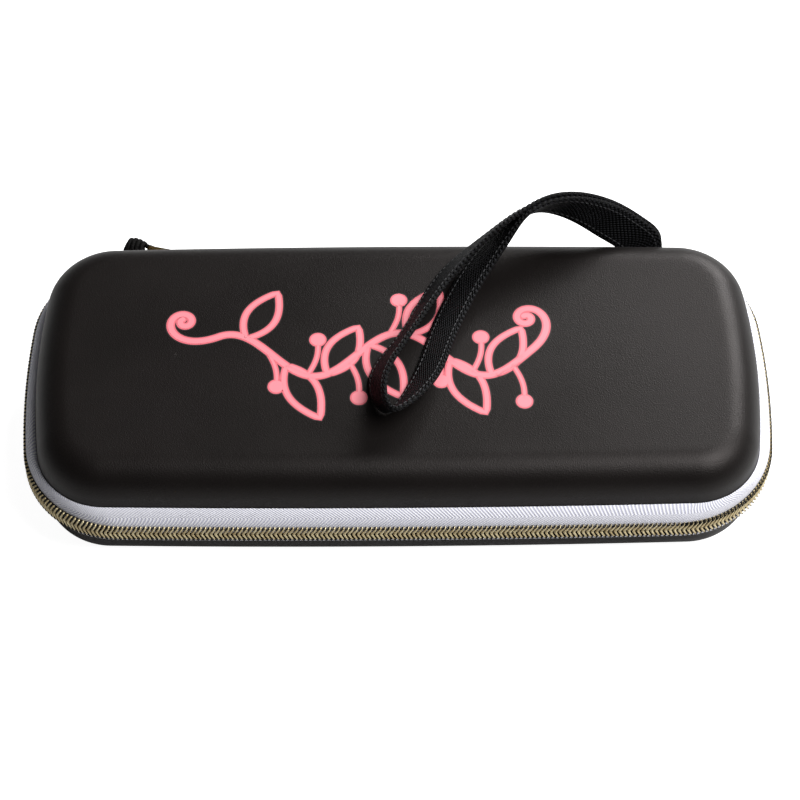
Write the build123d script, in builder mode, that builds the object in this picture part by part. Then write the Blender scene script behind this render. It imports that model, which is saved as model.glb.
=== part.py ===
"""Hard zip-around case for a stethoscope, closed, lying on its base with the lid up.

Millimetres. X runs along the case, Y from front to back, Z up. The origin is the centre of the
underside. Both halves are moulded from EVA foam faced with leather cloth and lined with knit
fabric, and a coil zip joins them round the front and both ends. At the back a fabric spine is
the hinge.
"""

import os
from math import cos, radians, sin, sqrt

from build123d import *

os.makedirs("parts", exist_ok=True)

# ---- Driving dimensions ------------------------------------------------------------------
case_length = 260.0  # over the zip coil
case_width = 116.0  # over the zip coil
lid_depth = 24.5  # zip line to the top of the lid
base_depth = 24.5  # zip line to the underside
end_bow = 5.8  # how far the short sides bow out at their middle
side_bow = 1.55  # how far the long sides bow out at their middle
coil_corner = 34.3  # corner radius along the zip coil
rim_corner = 24.3  # corner radius of the moulded rims

rim_height = 8.7  # zip line to the rim of either half
band_reach = 4.9  # how far the zip coil stands out from the rims
wall_draft = 5.5  # degrees that the walls lean in
edge_round = 12.0  # radius between wall and top or bottom

skin_thickness = 0.6
foam_thickness = 3.2
lining_thickness = 0.5
tape_thickness = 0.8
tape_hem = 5.5  # height of zip tape sewn inside the wall
binding_thickness = 0.8
binding_height = 7.0  # from the rim to the end of the inner binding

coil_thickness = 1.7  # across the tape
coil_height = 2.85  # one half of the closed chain
coil_round = 0.7
coil_gap = 0.05  # from the zip line to either coil

spine_length = 132.0  # fabric hinge between the two ends of the zip
spine_thickness = 1.2
spine_proud = 1.5  # the fold stands this far behind the zip coil
zip_end_length = 34.0  # zip beside the spine that stays with the base, held by the slider
fit_gap = 0.3  # between pieces that move past each other

slider_length = 11.0
slider_to_spine = 5.5
slider_travel = 7.0
slider_tail = 8.4  # width over the meshed chain
slider_waist = 10.4  # width where the two halves have parted
slider_shoulder = 11.0  # width at the open end
slider_plate = 1.1
slider_flange = 0.9
tape_slot = 1.4  # gap that the tape leaves the slider through
wedge_length = 3.0
wedge_width = 1.6
parting_length = 4.7  # along the chain, from meshed to fully parted
parting_lead = 0.7  # the chain starts to part this far ahead of the slider
bridge_length = 8.0
bridge_width = 2.0
bridge_wall = 1.1
bridge_post = 0.8
bridge_window = 3.1  # clear height under the bridge

pull_thickness = 1.1
pull_width = 6.0
pull_length = 14.1  # over all
pull_bar = 1.2  # bar under the bridge
pull_window = 4.6
pull_arm = 1.4
pull_tip = 1.4  # bar that the cord goes round
pull_angle = 13.5  # degrees between the pull and the chain
cord_thickness = 1.7
cord_eye = 2.3  # length of the eye that the cord passes through
knot_diameter = 8.6
knot_length = 8.4
knot_turns = 3
knot_start = 1.4  # from the cord's swing line to the knot

strap_width = 16.0
ply_thickness = 1.4
ply_gap = 0.3
strap_root_x = 79.5  # inner corner of the strap's sewn root
strap_root_out = 2.2  # from the rim line to the strap's swing line
strap_root_up = 1.4  # from the rim to the strap's swing line
strap_sections = 84
strap_tack = 2.4  # thickness where the two ends are stitched together
strap_tack_inset = 0.5

pocket_edge = -20.0  # free edge of the mesh pocket
mesh_thickness = 0.5
pocket_band_width = 10.0
pocket_band_thickness = 1.5
pocket_lift = 0.3  # from the lid's rim to the pocket's elastic edge

# ---- Levels and lines worked out from them ------------------------------------------------
zip_level = base_depth
lid_rim = zip_level + rim_height
base_rim = zip_level - rim_height
wall = skin_thickness + foam_thickness + lining_thickness
hem_inset = wall + tape_thickness
binding_inset = hem_inset + binding_thickness
tape_reach = band_reach - coil_thickness
coil_start = coil_gap + coil_height
hinge_y = case_width / 2 + spine_proud
spine_end = spine_length / 2
zip_end_x = -spine_end - zip_end_length
beyond = case_length  # reaches past the case on any side
rim_length = case_length - 2 * band_reach
rim_width = case_width - 2 * band_reach


def side_line(width, x):
    """Y of the bowed back side of a plan of this width, at x."""
    reach = case_length / 2 - end_bow
    radius = (reach**2 + side_bow**2) / (2 * side_bow)
    return width / 2 - radius + sqrt(radius**2 - x**2)


# ---- Shapes shared by both halves ---------------------------------------------------------
def plan(length, width, corner):
    """Plan shape of the case: four gently bowed sides joined by round corners."""
    half_x = length / 2
    half_y = width / 2
    corner_x = half_x - end_bow
    corner_y = half_y - side_bow
    with BuildSketch() as shape:
        with BuildLine():
            ThreePointArc((corner_x, -corner_y), (half_x, 0), (corner_x, corner_y))
            ThreePointArc((corner_x, corner_y), (0, half_y), (-corner_x, corner_y))
            ThreePointArc((-corner_x, corner_y), (-half_x, 0), (-corner_x, -corner_y))
            ThreePointArc((-corner_x, -corner_y), (0, -half_y), (corner_x, -corner_y))
        make_face()
        fillet(shape.vertices(), corner)
    return shape.sketch


def rim_plan(inset):
    """Plan of a moulded half at its rim, moved in from the outer face."""
    across = inset / cos(radians(wall_draft))
    return plan(rim_length - 2 * across, rim_width - 2 * across, rim_corner - across)


def coil_plan(inset):
    """Plan along the zip coil's outer face, moved in by inset."""
    return plan(case_length - 2 * inset, case_width - 2 * inset, coil_corner - inset)


def level(side, height):
    """Plane at a height above (side 1) or below (side -1) the zip line, facing away from it."""
    return Plane((0, 0, zip_level + side * height), x_dir=(1, 0, 0), z_dir=(0, 0, side))


def slab(low_x, high_x, low_y, high_y, side, low, high):
    """Block between limits; low and high are heights from the zip line on the given side."""
    with BuildPart() as block:
        with BuildSketch(level(side, low)):
            with Locations(((low_x + high_x) / 2, side * (low_y + high_y) / 2)):
                Rectangle(high_x - low_x, high_y - low_y)
        extrude(amount=high - low)
    return block.part


def moulding(side, depth, inset):
    """Solid inside a moulded half's outer face, moved in by inset."""
    with BuildPart() as form:
        with BuildSketch(level(side, rim_height)):
            add(rim_plan(inset))
        extrude(amount=depth - rim_height - inset, taper=wall_draft)
        far_face = form.faces().sort_by(Axis.Z)[-1 if side > 0 else 0]
        fillet(far_face.edges(), edge_round - inset)
    return form.part


def layer(side, depth, outer, inner):
    """One layer of a moulded half, between two insets from its outer face."""
    with BuildPart() as sheet:
        add(moulding(side, depth, outer))
        add(moulding(side, depth, inner), mode=Mode.SUBTRACT)
    return sheet.part


def bulge(side, reach, start, inset):
    """Solid inside fabric that swells from a rim out to reach, its face moved in by inset."""
    with BuildPart() as form:
        for angle in (90, 60, 30, 0):
            outward = sin(radians(angle))
            upward = cos(radians(angle))
            out = (reach - inset) * outward
            corner = rim_corner + (coil_corner - rim_corner) * outward
            height = start + (rim_height - start - inset) * upward
            with BuildSketch(Plane.XY.offset(zip_level + side * height)):
                add(plan(rim_length + 2 * out, rim_width + 2 * out, corner))
        loft()
    return form.part


def band(side, reach, start, thickness):
    """Fabric sewn under a rim that swells outwards and then runs straight to the zip line."""
    face = band_reach - reach
    with BuildPart() as cloth:
        add(bulge(side, reach, start, 0))
        with BuildSketch(level(side, coil_gap)):
            add(coil_plan(face))
        extrude(amount=start - coil_gap)
        add(bulge(side, reach, start, thickness), mode=Mode.SUBTRACT)
        with BuildSketch(level(side, coil_gap)):
            add(coil_plan(face + thickness))
        extrude(amount=start - coil_gap, mode=Mode.SUBTRACT)
        with BuildSketch(level(side, coil_gap)):
            add(rim_plan(hem_inset))
        extrude(amount=rim_height, mode=Mode.SUBTRACT)
    return cloth.part


def hem(side, depth):
    """Edge of the fabric, turned up against the lining inside the wall."""
    with BuildPart() as turned:
        add(layer(side, depth, wall, hem_inset))
        add(slab(-beyond, beyond, -beyond, beyond, side, 0, rim_height + tape_hem), mode=Mode.INTERSECT)
    return turned.part


# Stretches along the back, as X and Y limits.
behind_spine = (-spine_end, spine_end, 0, beyond)
behind_zip_end = (zip_end_x - fit_gap, -spine_end, 0, beyond)
zip_end_stretch = (zip_end_x, -spine_end - fit_gap, 0, beyond)


def part_way(side, outline, low_y, high_y):
    """Prism across the back of the case with an outline of X and height from the zip line."""
    with BuildPart() as prism:
        with BuildSketch(Plane((0, high_y, zip_level), x_dir=(1, 0, 0), z_dir=(0, -1, 0))):
            with BuildLine():
                Polyline(*[(x, side * height) for x, height in outline], close=True)
            make_face()
        extrude(amount=high_y - low_y)
    return prism.part


# ---- Moulded halves: leather cloth, foam and lining -----------------------------------------
with BuildPart() as lid_skin:
    add(layer(1, lid_depth, 0, skin_thickness))
lid_skin.part.label = "lid_skin"

with BuildPart() as lid_foam:
    add(layer(1, lid_depth, skin_thickness, skin_thickness + foam_thickness))
lid_foam.part.label = "lid_foam"

with BuildPart() as lid_lining:
    add(layer(1, lid_depth, skin_thickness + foam_thickness, wall))
lid_lining.part.label = "lid_lining"

with BuildPart() as base_skin:
    add(layer(-1, base_depth, 0, skin_thickness))
base_skin.part.label = "base_skin"

with BuildPart() as base_foam:
    add(layer(-1, base_depth, skin_thickness, skin_thickness + foam_thickness))
base_foam.part.label = "base_foam"

with BuildPart() as base_lining:
    add(layer(-1, base_depth, skin_thickness + foam_thickness, wall))
base_lining.part.label = "base_lining"

# ---- Inner bindings over the sewn edges -----------------------------------------------------
with BuildPart() as edge_binding_upper:
    add(layer(1, lid_depth, hem_inset, binding_inset))
    add(slab(-beyond, beyond, -beyond, beyond, 1, 0, rim_height + binding_height), mode=Mode.INTERSECT)
edge_binding_upper.part.label = "edge_binding_upper"

with BuildPart() as edge_binding_lower:
    add(layer(-1, base_depth, hem_inset, binding_inset))
    add(slab(-beyond, beyond, -beyond, beyond, -1, 0, rim_height + binding_height), mode=Mode.INTERSECT)
edge_binding_lower.part.label = "edge_binding_lower"

# ---- Where the slider stands on the chain ---------------------------------------------------
slider_x = -spine_end - slider_to_spine - slider_length / 2
slider_low = slider_x - slider_length / 2
slider_high = slider_x + slider_length / 2
chain_y = side_line(case_width, slider_x)
channel_inner = chain_y - coil_thickness - tape_thickness - fit_gap
channel_outer = chain_y + fit_gap
plate_outer = channel_outer + slider_plate
parting_start = slider_low - parting_lead
parting_end = parting_start + parting_length
parting_half = wedge_width / 2 + fit_gap
coil_lift = parting_half - coil_gap
coil_stop = -spine_end - fit_gap

# Outlines of X and height from the zip line.
parting = (
    (parting_start, 0),
    (parting_end, parting_half),
    (-spine_end, parting_half),
    (-spine_end, -parting_half),
    (parting_end, -parting_half),
)
parted_coil = (
    (zip_end_x, coil_gap),
    (parting_start, coil_gap),
    (parting_end, coil_gap + coil_lift),
    (coil_stop, coil_gap + coil_lift),
    (coil_stop, coil_start + coil_lift),
    (parting_end, coil_start + coil_lift),
    (parting_start, coil_start),
    (zip_end_x, coil_start),
)


def coil_ring(side):
    """One coil all the way round, as a bead with a rounded outer edge."""
    with BuildPart() as ring:
        with BuildSketch(level(side, coil_gap)):
            add(coil_plan(0))
            add(coil_plan(coil_thickness), mode=Mode.SUBTRACT)
        extrude(amount=coil_height)
        far_face = ring.faces().filter_by(Axis.Z).sort_by(Axis.Z)[-1 if side > 0 else 0]
        fillet(far_face.outer_wire().edges(), coil_round)
    return ring.part


def coil_end(side):
    """Stretch of coil under the slider: meshed at first, then lifted off the other one."""
    with BuildPart() as stretch:
        with BuildSketch(level(side, 0)):
            add(coil_plan(0))
            add(coil_plan(coil_thickness), mode=Mode.SUBTRACT)
        extrude(amount=rim_height)
        add(part_way(side, parted_coil, 0, beyond), mode=Mode.INTERSECT)
    return stretch.part


# ---- Zip: tapes and coils -------------------------------------------------------------------
with BuildPart() as zip_tape_upper:
    add(band(1, tape_reach, coil_start, tape_thickness))
    add(hem(1, lid_depth))
    add(slab(*behind_spine, 1, -beyond, beyond), mode=Mode.SUBTRACT)
    add(slab(*behind_zip_end, 1, -beyond, beyond), mode=Mode.SUBTRACT)
zip_tape_upper.part.label = "zip_tape_upper"

with BuildPart() as zip_tape_lower:
    add(band(-1, tape_reach, coil_start, tape_thickness))
    add(hem(-1, base_depth))
    add(slab(*behind_spine, -1, -beyond, beyond), mode=Mode.SUBTRACT)
    add(part_way(-1, parting, 0, beyond), mode=Mode.SUBTRACT)
zip_tape_lower.part.label = "zip_tape_lower"

with BuildPart() as zip_tape_end:
    add(band(1, tape_reach, coil_start, tape_thickness))
    add(slab(*zip_end_stretch, 1, 0, rim_height - fit_gap), mode=Mode.INTERSECT)
    add(part_way(1, parting, 0, beyond), mode=Mode.SUBTRACT)
zip_tape_end.part.label = "zip_tape_end"

with BuildPart() as zip_coil_upper:
    add(coil_ring(1))
    add(slab(*behind_spine, 1, -beyond, beyond), mode=Mode.SUBTRACT)
    add(slab(*behind_zip_end, 1, -beyond, beyond), mode=Mode.SUBTRACT)
zip_coil_upper.part.label = "zip_coil_upper"

with BuildPart() as zip_coil_lower:
    add(coil_ring(-1))
    add(slab(*behind_spine, -1, -beyond, beyond), mode=Mode.SUBTRACT)
    add(slab(zip_end_x, -spine_end, 0, beyond, -1, -beyond, beyond), mode=Mode.SUBTRACT)
    add(coil_end(-1))
zip_coil_lower.part.label = "zip_coil_lower"

with BuildPart() as zip_coil_end:
    add(coil_end(1))
zip_coil_end.part.label = "zip_coil_end"

# ---- Fabric spine, one leaf on each half, meeting on the hinge line --------------------------
with BuildPart() as spine_upper:
    add(band(1, band_reach + spine_proud, coil_start, spine_thickness))
    add(hem(1, lid_depth))
    add(slab(*behind_spine, 1, -beyond, beyond), mode=Mode.INTERSECT)
spine_upper.part.label = "spine_upper"

with BuildPart() as spine_lower:
    add(band(-1, band_reach + spine_proud, coil_start, spine_thickness))
    add(hem(-1, base_depth))
    add(slab(*behind_spine, -1, -beyond, beyond), mode=Mode.INTERSECT)
spine_lower.part.label = "spine_lower"

# ---- Mesh pocket in the lid -----------------------------------------------------------------
band_low = rim_height + pocket_lift
mesh_low = band_low + (pocket_band_thickness - mesh_thickness) / 2
band_front = pocket_edge - (pocket_band_thickness - mesh_thickness) / 2
mesh_limits = (-beyond, beyond, pocket_edge, beyond)
band_limits = (-beyond, beyond, band_front, band_front + pocket_band_width)

with BuildPart() as mesh_pocket:
    add(moulding(1, lid_depth, binding_inset))
    add(slab(*mesh_limits, 1, mesh_low, mesh_low + mesh_thickness), mode=Mode.INTERSECT)
mesh_pocket.part.label = "mesh_pocket"

with BuildPart() as pocket_band:
    add(moulding(1, lid_depth, binding_inset))
    add(slab(*band_limits, 1, band_low, band_low + pocket_band_thickness), mode=Mode.INTERSECT)
    add(slab(*mesh_limits, 1, mesh_low, mesh_low + mesh_thickness), mode=Mode.SUBTRACT)
pocket_band.part.label = "pocket_band"

# ---- Slider: two plates, flanges, wedge and bridge -------------------------------------------
waist_x = slider_low + parting_length - parting_lead
bridge_height = bridge_window + bridge_wall
slider_outline = (
    (slider_low, slider_tail / 2),
    (waist_x, slider_waist / 2),
    (slider_high, slider_shoulder / 2),
    (slider_high, -slider_shoulder / 2),
    (waist_x, -slider_waist / 2),
    (slider_low, -slider_tail / 2),
)
slider_channel = (
    (slider_low - 1, slider_tail / 2 - slider_flange),
    (slider_low, slider_tail / 2 - slider_flange),
    (waist_x, slider_waist / 2 - slider_flange),
    (slider_high, slider_shoulder / 2 - slider_flange),
    (slider_high + 1, slider_shoulder / 2 - slider_flange),
    (slider_high + 1, slider_flange - slider_shoulder / 2),
    (slider_high, slider_flange - slider_shoulder / 2),
    (waist_x, slider_flange - slider_waist / 2),
    (slider_low, slider_flange - slider_tail / 2),
    (slider_low - 1, slider_flange - slider_tail / 2),
)
wedge = (
    (slider_high - wedge_length, 0.25),
    (slider_high, wedge_width / 2),
    (slider_high, -wedge_width / 2),
    (slider_high - wedge_length, -0.25),
)

with BuildPart() as slider_body:
    add(part_way(1, slider_outline, channel_inner - slider_plate, plate_outer))
    corners = slider_body.edges().filter_by(Axis.Y).group_by(Axis.X)
    fillet(corners[0] + corners[-1], 1.5)
    outer_face = slider_body.faces().sort_by(Axis.Y)[-1]
    fillet(outer_face.edges(), 0.4)
    add(part_way(1, slider_channel, channel_inner, channel_outer), mode=Mode.SUBTRACT)
    slot_top = channel_inner + tape_slot
    with BuildSketch(Plane.XY.offset(zip_level - slider_shoulder)):
        with Locations((slider_x, (channel_inner + slot_top) / 2)):
            Rectangle(slider_length + 2, tape_slot)
    extrude(amount=2 * slider_shoulder, mode=Mode.SUBTRACT)
    add(part_way(1, wedge, channel_inner, channel_outer))
    with BuildSketch(Plane.XY.offset(zip_level - bridge_width / 2)):
        with Locations((slider_x, plate_outer + bridge_height / 2)):
            RectangleRounded(bridge_length, bridge_height, 1.2)
        with Locations((slider_x, plate_outer + bridge_height / 4)):
            Rectangle(bridge_length, bridge_height / 2)
        with Locations((slider_x, plate_outer + bridge_window / 2)):
            Rectangle(bridge_length - 2 * bridge_post, bridge_window, mode=Mode.SUBTRACT)
    extrude(amount=bridge_width)
slider_body.part.label = "slider_body"

# ---- Pull tab ---------------------------------------------------------------------------------
pin_y = plate_outer + bridge_window - pull_bar / 2 - 0.2
along_x = -cos(radians(pull_angle))
along_y = sin(radians(pull_angle))
pull_plane = Plane((slider_x, pin_y, zip_level), x_dir=(along_x, along_y, 0), z_dir=(along_y, -along_x, 0))
pull_end = pull_length - pull_bar / 2
eye_end = pull_end - pull_tip
swing_reach = pull_end - pull_tip / 2

with BuildPart() as pull_tab:
    with BuildSketch(pull_plane.offset(-pull_thickness / 2)):
        with Locations((pull_end / 2 - pull_bar / 4, 0)):
            RectangleRounded(pull_length, pull_width, 1.2)
        with Locations((pull_bar / 2 + pull_window / 2, 0)):
            RectangleRounded(pull_window, pull_width - 2 * pull_arm, 0.5, mode=Mode.SUBTRACT)
        with Locations((eye_end - cord_eye / 2, 0)):
            RectangleRounded(cord_eye, pull_width - 2 * pull_arm, 0.8, mode=Mode.SUBTRACT)
    extrude(amount=pull_thickness)
    with BuildSketch(Plane((slider_x, pin_y, zip_level - pull_width / 2 + 0.6))):
        Circle(pull_bar / 2)
    extrude(amount=pull_width - 1.2)
pull_tab.part.label = "pull_tab"

# ---- Pull cord: a loop through the eye, tied in a barrel knot ----------------------------------
cord_x = slider_x + along_x * swing_reach
cord_y = pin_y + along_y * swing_reach
cord_plane = Plane((cord_x, cord_y, zip_level), x_dir=(along_x, along_y, 0), z_dir=(0, 0, 1))
loop_radius = pull_thickness / 2 + cord_thickness / 2 + 0.6
knot_middle = knot_start + knot_length / 2
knot_core = knot_diameter / 2 - cord_thickness / 2
wrap_pitch = (knot_length - cord_thickness) / (knot_turns - 1)

with BuildPart() as pull_cord:
    with BuildLine(cord_plane) as cord_run:
        Line((knot_middle, loop_radius), (0, loop_radius))
        ThreePointArc((0, loop_radius), (-loop_radius, 0), (0, -loop_radius))
        Line((0, -loop_radius), (knot_middle, -loop_radius))
    with BuildSketch(Plane(cord_run.line @ 0, z_dir=cord_run.line % 0)):
        Circle(cord_thickness / 2)
    sweep()
    with BuildSketch(cord_plane):
        with Locations((knot_middle, knot_core / 2)):
            Rectangle(knot_length - cord_thickness, knot_core)
    revolve(axis=Axis((cord_x, cord_y, zip_level), (along_x, along_y, 0)))
    for turn in range(knot_turns):
        with BuildSketch(cord_plane):
            with Locations((knot_start + cord_thickness / 2 + turn * wrap_pitch, knot_core)):
                Circle(cord_thickness / 2)
        revolve(axis=Axis((cord_x, cord_y, zip_level), (along_x, along_y, 0)))
pull_cord.part.label = "pull_cord"

# ---- Wrist strap: webbing doubled from the root, then opened into a loop ------------------------
# Each station is the lower edge of the webbing, from the root's corner, the rim's back and the lid's top,
# and how far the upper edge stands to its right and back.
strap_doubled = (
    ((0.7, 1.5, -12.4), (14.0, 0.5)),
    ((-2.0, 1.8, -9.4), (11.5, 1.0)),
    ((-8.0, 2.6, -5.0), (11.0, 1.5)),
    ((-15.5, 3.1, 1.6), (8.5, -1.0)),
    ((-23.0, 3.8, 6.0), (6.0, -4.0)),
    ((-29.5, 3.4, 8.3), (3.0, -7.0)),
    ((-35.0, 0.9, 9.2), (1.5, -9.0)),
)
strap_loop = (
    ((-48.0, -7.1, 7.0), (3.5, -8.0)),
    ((-63.5, -19.1, 2.2), (5.0, -9.0)),
    ((-81.0, -49.6, 1.0), (4.0, -8.5)),
    ((-89.0, -70.6, 1.0), (5.0, -8.0)),
    ((-84.5, -77.9, 1.0), (3.0, -8.0)),
    ((-77.5, -70.1, 1.0), (5.0, -9.5)),
    ((-68.5, -45.1, 1.0), (7.0, -12.0)),
    ((-57.5, -20.1, 1.5), (7.0, -11.5)),
    ((-44.5, -5.6, 6.0), (5.0, -10.0)),
)
strap_datum = Vector(strap_root_x, rim_width / 2, zip_level + lid_depth)
strap_axis_y = side_line(rim_width, strap_root_x + strap_width) + strap_root_out
strap_axis_z = lid_rim + strap_root_up
ply_offset = (ply_thickness + ply_gap) / 2


def edge_pair(station):
    """Lower and upper edge of the webbing at one station."""
    place, (lean_x, lean_y) = station
    low = strap_datum + Vector(*place)
    return low, low + Vector(lean_x, lean_y, sqrt(strap_width**2 - lean_x**2 - lean_y**2))


def across(pairs, index):
    """Unit vector out of the webbing's face at one pair of edge points."""
    here = pairs[index]
    before = pairs[max(index - 1, 0)]
    after = pairs[min(index + 1, len(pairs) - 1)]
    along = after[0] + after[1] - before[0] - before[1]
    return along.normalized().cross((here[1] - here[0]).normalized()).normalized()


def moved(pairs, distance):
    """The pairs moved out of the webbing's face."""
    steps = [across(pairs, index) * distance for index in range(len(pairs))]
    return [(low + step, high + step) for (low, high), step in zip(pairs, steps)]


strap_root = (
    Vector(strap_root_x, strap_axis_y, strap_axis_z),
    Vector(strap_root_x + strap_width, strap_axis_y, strap_axis_z),
)
doubled_pairs = [strap_root] + [edge_pair(station) for station in strap_doubled]
loop_pairs = [edge_pair(station) for station in strap_loop]
outgoing = moved(doubled_pairs + loop_pairs[:1], ply_offset)[:-1]
returning = moved(doubled_pairs + loop_pairs[-1:], -ply_offset)[:-1]
strap_pairs = outgoing + loop_pairs + returning[::-1]
reach = [0.0]
for (low, high), (next_low, next_high) in zip(strap_pairs, strap_pairs[1:]):
    reach.append(reach[-1] + (next_low + next_high - low - high).length / 2)
stops = [distance / reach[-1] for distance in reach]
face_out = moved(strap_pairs, ply_thickness / 2)
face_in = moved(strap_pairs, -ply_thickness / 2)
corner_lines = [
    Edge.make_spline([low for low, high in face_out], parameters=stops),
    Edge.make_spline([high for low, high in face_out], parameters=stops),
    Edge.make_spline([high for low, high in face_in], parameters=stops),
    Edge.make_spline([low for low, high in face_in], parameters=stops),
]

with BuildPart() as wrist_strap:
    strap_cuts = []
    for count in range(strap_sections + 1):
        corners = [line @ (count / strap_sections) for line in corner_lines]
        strap_cuts.append(Wire.make_polygon(corners, close=True))
    add(Solid.make_loft(strap_cuts, ruled=True))
    tack_x = strap_root_x + strap_tack_inset
    with BuildSketch(Plane((tack_x, strap_axis_y, strap_axis_z), x_dir=(0, 1, 0), z_dir=(1, 0, 0))):
        Circle(strap_tack / 2)
    extrude(amount=strap_width - 2 * strap_tack_inset)
wrist_strap.part.label = "wrist_strap"

# ---- Files ------------------------------------------------------------------------------------
export_step(lid_skin.part, "parts/lid_skin.step")
export_step(lid_foam.part, "parts/lid_foam.step")
export_step(lid_lining.part, "parts/lid_lining.step")
export_step(base_skin.part, "parts/base_skin.step")
export_step(base_foam.part, "parts/base_foam.step")
export_step(base_lining.part, "parts/base_lining.step")
export_step(edge_binding_upper.part, "parts/edge_binding_upper.step")
export_step(edge_binding_lower.part, "parts/edge_binding_lower.step")
export_step(zip_tape_upper.part, "parts/zip_tape_upper.step")
export_step(zip_tape_lower.part, "parts/zip_tape_lower.step")
export_step(zip_tape_end.part, "parts/zip_tape_end.step")
export_step(zip_coil_upper.part, "parts/zip_coil_upper.step")
export_step(zip_coil_lower.part, "parts/zip_coil_lower.step")
export_step(zip_coil_end.part, "parts/zip_coil_end.step")
export_step(spine_upper.part, "parts/spine_upper.step")
export_step(spine_lower.part, "parts/spine_lower.step")
export_step(mesh_pocket.part, "parts/mesh_pocket.step")
export_step(pocket_band.part, "parts/pocket_band.step")
export_step(slider_body.part, "parts/slider_body.step")
export_step(pull_tab.part, "parts/pull_tab.step")
export_step(pull_cord.part, "parts/pull_cord.step")
export_step(wrist_strap.part, "parts/wrist_strap.step")
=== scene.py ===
"""Looks of a zip-around hard case for a stethoscope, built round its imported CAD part.

The file follows the case as it is put together: the studio stand, the two moulded halves,
their lining, the zip, the spine, the bindings and pocket inside, the slider with its pull and cord,
the wrist strap and the print. Sizes are in millimetres and each finished mesh is in metres.
"""

from math import atan2, cos, pi, radians, sin, sqrt

import bpy
import numpy as np
from mathutils import Matrix, Vector


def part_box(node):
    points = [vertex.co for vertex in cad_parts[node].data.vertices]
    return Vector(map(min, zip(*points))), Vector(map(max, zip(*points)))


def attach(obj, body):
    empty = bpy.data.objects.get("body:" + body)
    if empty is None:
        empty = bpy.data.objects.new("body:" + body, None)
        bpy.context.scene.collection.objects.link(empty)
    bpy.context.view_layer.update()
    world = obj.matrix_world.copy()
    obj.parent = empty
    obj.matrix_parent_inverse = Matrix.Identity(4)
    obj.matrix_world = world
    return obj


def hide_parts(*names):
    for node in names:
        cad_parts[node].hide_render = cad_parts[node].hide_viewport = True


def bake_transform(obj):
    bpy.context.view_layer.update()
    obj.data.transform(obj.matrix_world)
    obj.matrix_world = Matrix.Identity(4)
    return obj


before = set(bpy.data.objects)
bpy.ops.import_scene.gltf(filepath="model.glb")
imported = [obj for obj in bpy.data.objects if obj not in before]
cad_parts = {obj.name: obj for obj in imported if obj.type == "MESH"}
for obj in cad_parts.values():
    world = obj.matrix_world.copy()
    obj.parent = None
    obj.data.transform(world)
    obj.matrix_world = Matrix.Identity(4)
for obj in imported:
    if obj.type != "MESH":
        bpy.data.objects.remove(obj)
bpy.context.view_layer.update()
scene = bpy.context.scene

# ---- Studio stand -------------------------------------------------------------------------
# A white sweep that the case lies on, a long lens looking down on its front, and soft boxes.
# The sweep reads as pure white from the camera and still takes the case's shadow.
MM = 0.001


def paint(text):
    """Linear colour of an sRGB hex value, with alpha 1."""
    parts = [int(text[i : i + 2], 16) / 255 for i in (1, 3, 5)]
    return (*[c / 12.92 if c <= 0.04045 else ((c + 0.055) / 1.055) ** 2.4 for c in parts], 1.0)


def feed(tree, node, inputs):
    """Gives a node's named inputs their values, or the sockets that feed them."""
    for name, value in inputs.items():
        if isinstance(value, bpy.types.NodeSocket):
            tree.links.new(value, node.inputs[name])
        else:
            node.inputs[name].default_value = value


def add_node(tree, kind, inputs=None, **settings):
    """Adds a node with its settings and feeds its inputs."""
    made = tree.nodes.new(kind)
    for name, value in settings.items():
        setattr(made, name, value)
    feed(tree, made, inputs or {})
    return made


def put(name, data):
    """New object in the scene."""
    made = bpy.data.objects.new(name, data)
    scene.collection.objects.link(made)
    return made


def new_finish(name):
    """Empty material with a Principled shader; gives the material, its tree and the shader."""
    finish = bpy.data.materials.new(name)
    finish.use_nodes = True
    tree = finish.node_tree
    return finish, tree, tree.nodes["Principled BSDF"]


camera_target = Vector((0.797, -2.421, 24.5)) * MM
camera_distance = 908.747 * MM
camera_elevation = radians(55.067)
camera_azimuth = radians(-1.338)
camera_roll = radians(0.727)
level = cos(camera_elevation)
back = Vector((sin(camera_azimuth) * level, -cos(camera_azimuth) * level, sin(camera_elevation)))
camera = put("camera", bpy.data.cameras.new("camera"))
camera.location = camera_target + back * camera_distance
level_right = (-back).cross(Vector((0, 0, 1))).normalized()
level_up = level_right.cross(-back)
right = level_right * cos(camera_roll) + level_up * sin(camera_roll)
up = level_up * cos(camera_roll) - level_right * sin(camera_roll)
camera.rotation_mode = "QUATERNION"
camera.rotation_quaternion = Matrix((right, up, back)).transposed().to_quaternion()
camera.data.lens = 2597.793 / 800 * camera.data.sensor_width
camera.data.clip_start = 0.05
camera.data.clip_end = 20
scene.camera = camera

sweep_size = 3.0
sweep_mesh = bpy.data.meshes.new("sweep")
half = sweep_size / 2
sweep_corners = [(-half, -half, 0), (half, -half, 0), (half, half, 0), (-half, half, 0)]
sweep_mesh.from_pydata(sweep_corners, [], [(0, 1, 2, 3)])
sweep = put("sweep", sweep_mesh)
# Matte white paper: lit by the lamps, with a little light of its own for the camera only.
paper, tree, shader = new_finish("matte white paper")
ray = add_node(tree, "ShaderNodeLightPath")
own_light = add_node(tree, "ShaderNodeEmission", {"Color": (1, 1, 1, 1), "Strength": 0.95})
seen_inputs = {"Fac": ray.outputs["Is Camera Ray"], 2: own_light.outputs[0]}
seen = add_node(tree, "ShaderNodeMixShader", seen_inputs)
feed(tree, shader, {"Base Color": paint("#c9c9c9"), "Roughness": 0.9})
lit = add_node(tree, "ShaderNodeAddShader", {0: shader.outputs[0], 1: seen.outputs[0]})
feed(tree, tree.nodes["Material Output"], {"Surface": lit.outputs[0]})
sweep_mesh.materials.append(paper)

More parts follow.
